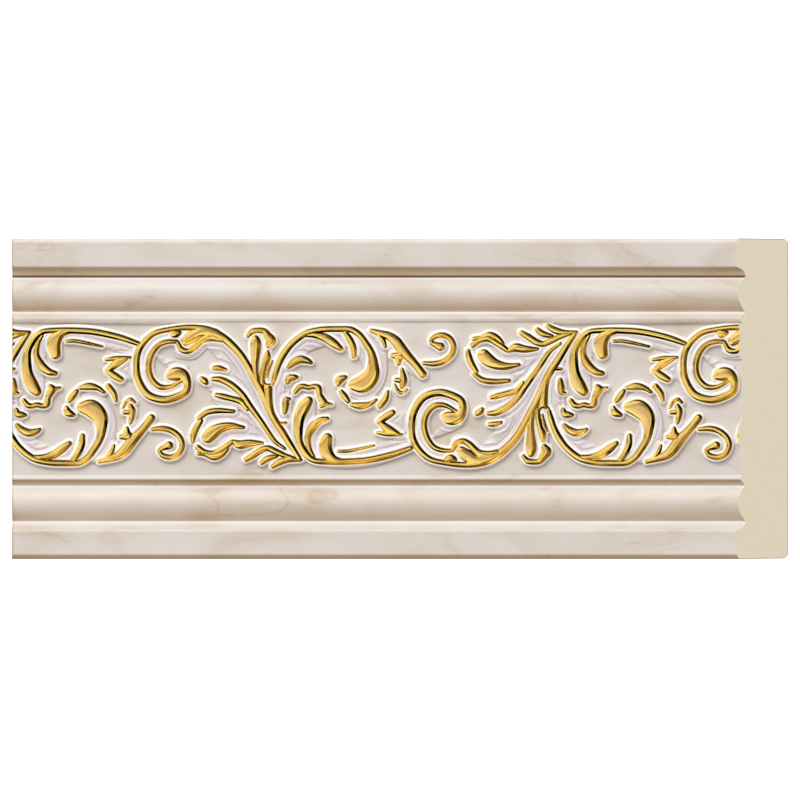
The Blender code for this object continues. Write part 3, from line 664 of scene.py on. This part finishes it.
def pearl_lacquer():
    """Satin pearl lacquer on plastic: pale ivory, soft highlights, clouds and thin veins like onyx, with
    painted shade and painted highlights in its colour.
    """
    material, shader, links = new_material("pearl_lacquer")
    place = add(material, "ShaderNodeTexCoord").outputs["Object"]
    drawn_out = add(material, "ShaderNodeMapping", {"Vector": place, "Scale": (0.4, 1, 1)}).outputs[0]
    cloud = add(
        material,
        "ShaderNodeTexNoise",
        {"Vector": drawn_out, "Scale": CLOUDS, "Detail": 5, "Roughness": 0.6, "Distortion": 1.0},
    ).outputs["Fac"]
    ivory = add(
        material,
        "ShaderNodeValToRGB",
        {"Fac": cloud},
        stops=((0.3, "#CFC0AF"), (0.44, "#D7CDC4"), (0.54, "#DAD2CB"), (0.72, "#DFD8D3")),
    ).outputs["Color"]

    slanted = add(
        material,
        "ShaderNodeMapping",
        {"Vector": place, "Rotation": (0, VEIN_SLANT, 0), "Scale": (0.3, 1, 1)},
    ).outputs[0]
    veining = add(
        material,
        "ShaderNodeTexNoise",
        {"Vector": slanted, "Scale": VEINS, "Detail": 3, "Roughness": 0.5, "Distortion": 0.6},
    ).outputs["Fac"]
    off_middle = add(material, "ShaderNodeMath", {0: veining, 1: 0.5}, operation="SUBTRACT").outputs[0]
    beside_vein = add(material, "ShaderNodeMath", {0: off_middle}, operation="ABSOLUTE").outputs[0]

    gilt, body, lower_right = (
        add(material, "ShaderNodeAttribute", attribute_name=name).outputs["Fac"]
        for name in ("gilt_depth", "body_depth", "lower_right")
    )
    along = add(material, "ShaderNodeSeparateXYZ", {"Vector": place}).outputs
    # shaded is the side of the carving that faces down and to the right, where painted shade goes.
    shaded = (lower_right, 0.0, 0.8)
    by_saw = (along["X"], (LEFT_END + SAWN_LINE + SAWN_FADE) * MM, (LEFT_END + SAWN_LINE) * MM)
    vein_coat = ("#B9A084", 0.35, ((beside_vein, 0.016, 0.0), (cloud, 0.52, 0.38)))
    # Painted shadow on the field at the foot of the carving, on its lower right side.
    painted_shadow_at_feet = ("#8E7D72", 0.35, ((body, -0.8, -0.05), (body, 0.3, 0.0), shaded))
    cool_leaves = ("#DDD4D7", 0.8, ((body, 0.0, 1.2),))
    # Painted highlight: the rims beside the gilt turned towards white, least on the lower right.
    painted_highlight_on_rims = ("#FFFDF8", 1.0, ((gilt, -2.0, -1.45), (gilt, -0.5, -0.7), (lower_right, 2.2, -0.6)))
    # Painted shade on the inner slope of the rims, on their lower right side.
    painted_shade_in_rims = ("#6E5A44", 0.4, ((gilt, -1.25, -0.6), shaded))
    stray_gold = ("#B8934C", 0.3, ((gilt, -0.9, -0.5),))
    sawn_edge = ("#6E6357", 0.7, (by_saw,))
    coats = (vein_coat, painted_shadow_at_feet, cool_leaves, painted_highlight_on_rims, painted_shade_in_rims, stray_gold, sawn_edge)
    ivory = coated(material, ivory, coats)

    across = add(
        material,
        "ShaderNodeMapRange",
        {"Value": along["Z"], "From Min": -HALF_WIDTH * MM, "From Max": HALF_WIDTH * MM},
    ).outputs["Result"]
    umber_tint_and_shade, painted_highlight = (
        add(
            material,
            "ShaderNodeValToRGB",
            {"Fac": across},
            stops=[((up + HALF_WIDTH) / (2 * HALF_WIDTH), colour) for up, colour in bands],
        ).outputs["Color"]
        for bands in (UMBER_AND_PAINTED_SHADE, PAINTED_HIGHLIGHTS)
    )
    # The warm umber tint and the painted shade across the face multiply the colour, then painted highlights
    # lighten the arrises.
    inputs = {0: 1.0, 6: ivory, 7: umber_tint_and_shade}
    ivory = add(material, "ShaderNodeMix", inputs, data_type="RGBA", blend_type="MULTIPLY").outputs[2]
    ivory = coated(material, ivory, (("#FFFFFF", painted_highlight, ()),))
    links.new(ivory, shader.inputs["Base Color"])
    shader.inputs["Roughness"].default_value = 0.35
    return material


# Noise scales again: the gold's warm patches and the painted shade on its lower right walls vary in 13 mm
# dabs, and the leaf's wear is 2 mm across.
DABS = 1 / (13.33 * MM)
WEAR = 1 / (2 * MM)


def gilding():
    """Imitation gold leaf, burnished: a deep yellow mirror with a brown to black edge, partly patina and
    partly painted shade, widest on the lower right walls.
    """
    material, shader, links = new_material("gilding")
    place = add(material, "ShaderNodeTexCoord").outputs["Object"]
    bright, lower_right = (
        add(material, "ShaderNodeAttribute", attribute_name=name).outputs["Fac"]
        for name in ("bright_depth", "lower_right")
    )
    brushed = add(
        material,
        "ShaderNodeTexNoise",
        {"Vector": place, "Scale": DABS, "Detail": 1, "Roughness": 0.5},
    ).outputs["Fac"]
    # Painted shade: on walls facing down and to the right the gilt's dark edge reaches further in,
    # unevenly.
    painted_shade_side = add(
        material,
        "ShaderNodeMapRange",
        {"Value": lower_right, "From Min": -0.2, "From Max": 0.7},
        interpolation_type="SMOOTHSTEP",
    ).outputs["Result"]
    uneven = add(
        material,
        "ShaderNodeMapRange",
        {"Value": brushed, "From Min": 0.35, "From Max": 0.65, "To Min": 0.1, "To Max": -0.4},
    ).outputs["Result"]
    painted_shade_spread = add(material, "ShaderNodeMath", {0: painted_shade_side, 1: uneven}, operation="MULTIPLY").outputs[0]
    clear = add(material, "ShaderNodeMath", {0: bright, 1: painted_shade_spread}, operation="ADD").outputs[0]
    across = add(material, "ShaderNodeMapRange", {"Value": clear, "From Min": -0.3, "From Max": 2.7})
    leaf = add(
        material,
        "ShaderNodeValToRGB",
        {"Fac": across.outputs["Result"]},
        stops=(
            (0.0, "#0C0500"), (0.08, "#180B00"), (0.12, "#985A04"), (0.17, "#FFE258"),
            (0.35, "#FFE27C"), (0.7, "#F4CC88"),
        ),
    ).outputs["Color"]
    # Painted shade: the gold dulled towards brown on walls facing down and to the right.
    painted_shade_lower_right = ("#B47E20", 0.3, ((lower_right, -0.2, 0.7),))
    warm_patches = ("#F4BC50", 0.45, ((brushed, 0.48, 0.7),))
    leaf = coated(material, leaf, (painted_shade_lower_right, warm_patches))
    wear = add(
        material,
        "ShaderNodeTexNoise",
        {"Vector": place, "Scale": WEAR, "Detail": 3, "Roughness": 0.6},
    ).outputs["Fac"]
    roughness = add(material, "ShaderNodeMapRange", {"Value": wear, "To Min": 0.12, "To Max": 0.3})
    links.new(leaf, shader.inputs["Base Color"])
    links.new(roughness.outputs["Result"], shader.inputs["Roughness"])
    shader.inputs["Metallic"].default_value = 1.0
    shader.inputs["Specular Tint"].default_value = linear("#C08A38")
    return material


# The real grain is finer than the picture shows, so it is drawn 1.1 mm across.
GRAIN = 1 / (1.111 * MM)
# The lacquer's film shows as a dark line round the mitre: its width, and then its fade.
FILM_LINE = 0.2
FILM_FADE = 0.3


def bare_foam():
    """High-density foamed polystyrene, sawn: matt cream with a fine closed grain, and no gloss."""
    material, shader, links = new_material("bare_foam")
    place = add(material, "ShaderNodeTexCoord").outputs["Object"]
    grain = add(
        material,
        "ShaderNodeTexNoise",
        {"Vector": place, "Scale": GRAIN, "Detail": 3, "Roughness": 0.7},
    ).outputs["Fac"]
    cream = add(
        material, "ShaderNodeValToRGB", {"Fac": grain}, stops=((0.3, "#EEE4CA"), (0.7, "#F5ECD5"))
    ).outputs["Color"]
    along = add(material, "ShaderNodeSeparateXYZ", {"Vector": place}).outputs
    edgeways = add(material, "ShaderNodeMath", {0: along["Z"]}, operation="ABSOLUTE").outputs[0]
    film = []
    for reach, end in ((edgeways, HALF_WIDTH), (along["X"], RIGHT_END)):
        by_edge = (reach, (end - FILM_LINE - FILM_FADE) * MM, (end - FILM_LINE) * MM)
        film.append(("#5E5B4E", 0.75, (by_edge,)))
    cream = coated(material, cream, film)
    links.new(cream, shader.inputs["Base Color"])
    shader.inputs["Roughness"].default_value = 0.8
    return material


LACQUER, GILT, FOAM = range(3)
for material in (pearl_lacquer(), gilding(), bare_foam()):
    mesh.materials.append(material)
gilt_depths = np.empty(len(mesh.vertices), np.float32)
mesh.attributes["gilt_depth"].data.foreach_get("value", gilt_depths)
for face in mesh.polygons:
    square_end = face.normal.x < -0.99
    back = face.normal.y > 0.99
    mitre = face.normal.x > 0.7 and face.normal.y < -0.7
    if square_end or back or mitre:
        face.material_index = FOAM
        face.use_smooth = False
    elif gilt_depths[list(face.vertices)].mean() > GILT_EDGE:
        face.material_index = GILT
    else:
        face.material_index = LACQUER
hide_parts("moulding")
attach(moulding, "root")


# The setting: a stone-coloured floor, a white backdrop, soft light from above and a camera square on.
# Sizes are in metres here.
PLANE_SIZE = 30
FLOOR_LEVEL = -0.9
BACKDROP_DISTANCE = 8


def stage_plane(name, place, turn, colour):
    """A matt plane that lights and shadows fall on, and no gloss shows."""
    bpy.ops.mesh.primitive_plane_add(size=PLANE_SIZE, location=place, rotation=turn)
    plane = bpy.context.object
    plane.name = name
    plane.visible_glossy = False
    material, shader = new_material(name + "_paint")[:2]
    shader.inputs["Base Color"].default_value = linear(colour)
    shader.inputs["Roughness"].default_value = 0.9
    plane.data.materials.append(material)
    return shader


stage_plane("floor", (0, 0, FLOOR_LEVEL), (0, 0, 0), "#8C8478")
backdrop_shader = stage_plane("backdrop", (0, BACKDROP_DISTANCE, 0), (math.pi / 2, 0, 0), "#FFFFFF")
backdrop_shader.inputs["Emission Color"].default_value = (1, 1, 1, 1)
backdrop_shader.inputs["Emission Strength"].default_value = 1.0

# The studio's walls and ceiling: dark below, so that rims and channels get a shaded side, and white above.
world = bpy.data.worlds.new("studio")
bpy.context.scene.world = world
world.use_nodes = True
direction = add(world, "ShaderNodeTexCoord").outputs["Generated"]
height = add(world, "ShaderNodeSeparateXYZ", {"Vector": direction}).outputs["Z"]
upwards = add(world, "ShaderNodeMapRange", {"Value": height, "From Min": -1.0, "From Max": 1.0})
sky = add(
    world,
    "ShaderNodeValToRGB",
    {"Fac": upwards.outputs["Result"]},
    stops=((0.0, "#443A30"), (0.32, "#5A5044"), (0.44, "#A0988C"), (0.495, "#EAE7E4"), (0.55, "#FFFFFF")),
)
background = world.node_tree.nodes["Background"]
world.node_tree.links.new(sky.outputs["Color"], background.inputs["Color"])
background.inputs["Strength"].default_value = 1.03


def soft_light(name, place, size, power):
    """A soft light box that faces the moulding."""
    data = bpy.data.lights.new(name, "AREA")
    data.shape = "RECTANGLE"
    data.size, data.size_y = size
    data.energy = power
    lamp = bpy.data.objects.new(name, data)
    bpy.context.scene.collection.objects.link(lamp)
    lamp.location = place
    lamp.rotation_euler = (-Vector(place)).to_track_quat("-Z", "Y").to_euler()
    lamp.visible_camera = False
    return lamp


soft_light("overhead", (-1.5, -3.0, 2.8), (2.4, 1.8), 84)
# A low card for the gloss alone: the gold mirrors it, and the matt surfaces get no light from it.
card = soft_light("low_card", (2.0, -1.9, -2.2), (7.0, 3.6), 84)
card.visible_diffuse = False
bpy.context.scene.view_settings.view_transform = "Standard"

# A long lens from far off, because the face shows no perspective. What it frames is in millimetres.
FRAME_WIDTH = 373.8
FRAME_CENTRE = (-0.4, -0.6)
camera_data = bpy.data.cameras.new("camera")
camera_data.lens = 600
camera_data.sensor_width = 36
camera_data.clip_end = 30
camera = bpy.data.objects.new("camera", camera_data)
bpy.context.scene.collection.objects.link(camera)
distance = FRAME_WIDTH * camera_data.lens / camera_data.sensor_width
camera.location = (FRAME_CENTRE[0] * MM, (-distance - DEPTH) * MM, FRAME_CENTRE[1] * MM)
camera.rotation_euler = (math.pi / 2, 0, 0)
bpy.context.scene.camera = camera
